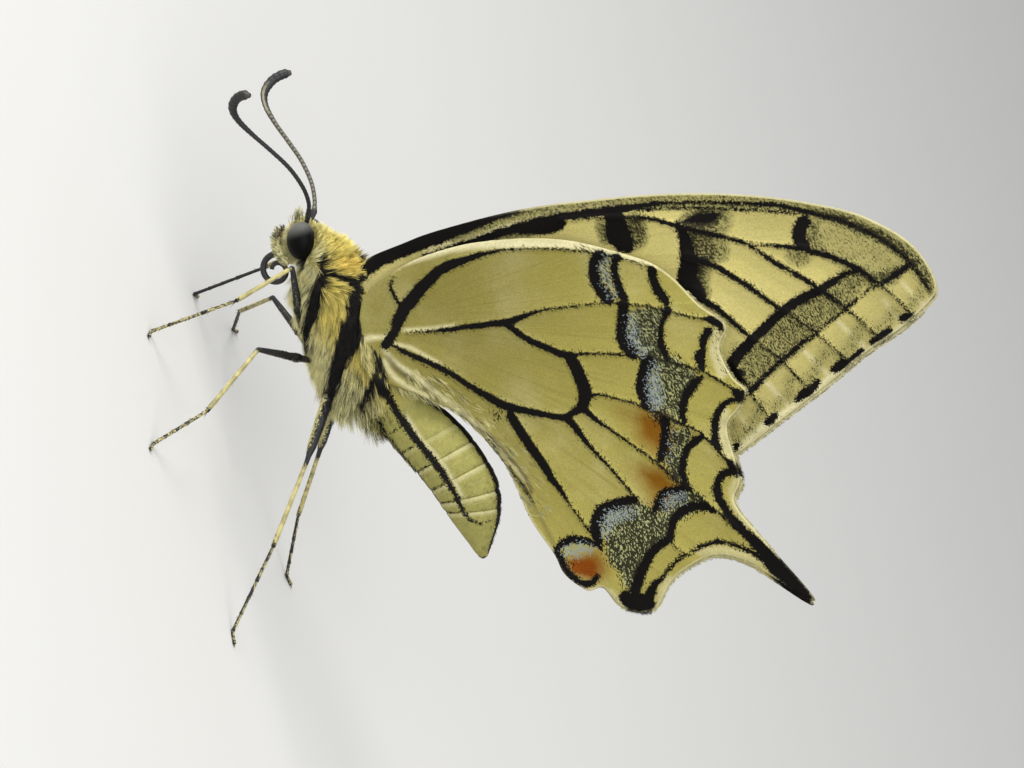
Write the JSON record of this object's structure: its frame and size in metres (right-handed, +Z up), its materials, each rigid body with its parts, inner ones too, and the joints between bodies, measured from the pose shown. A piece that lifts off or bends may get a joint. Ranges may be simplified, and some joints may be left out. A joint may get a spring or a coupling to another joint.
{
  "type": "swallowtail butterfly",
  "caption": "Still, life-size model of a swallowtail butterfly standing on its six legs with its yellow and black wings closed over its back.",
  "frame": {"origin": "on the floor under the middle of the whole figure's box", "axes": "-X the way the head points, -Y to the animal's left side, +Z up"},
  "size_m": [0.0459, 0.0301, 0.0523],
  "materials": {
    "wing_scales": "matte pale yellow scales with black veins, grey dusted bands and blue and orange spots",
    "body_hair": "long golden yellow and black hair",
    "abdomen_scales": "matte pale yellow scales with black stripes",
    "antenna_cuticle": "satin black cuticle",
    "leg_cuticle": "satin cuticle, black above and pale yellow below",
    "eye_gloss": "glossy black compound eye"
  },
  "bodies": {
    "root": {"abdomen_base": "abdomen_scales", "abdomen_middle": "abdomen_scales", "abdomen_tip": "abdomen_scales", "antenna_left": "antenna_cuticle", "antenna_right": "antenna_cuticle", "eye_left": "eye_gloss", "eye_right": "eye_gloss", "forewing_left": "wing_scales", "forewing_right": "wing_scales", "head": "body_hair", "hindwing_left": "wing_scales", "hindwing_right": "wing_scales", "leg_front_left": "leg_cuticle", "leg_front_right": "leg_cuticle", "leg_hind_left": "leg_cuticle", "leg_hind_right": "leg_cuticle", "leg_middle_left": "leg_cuticle", "leg_middle_right": "leg_cuticle", "palp_left": "body_hair", "palp_right": "body_hair", "proboscis": "antenna_cuticle", "thorax": "body_hair"}
  },
  "joints": []
}
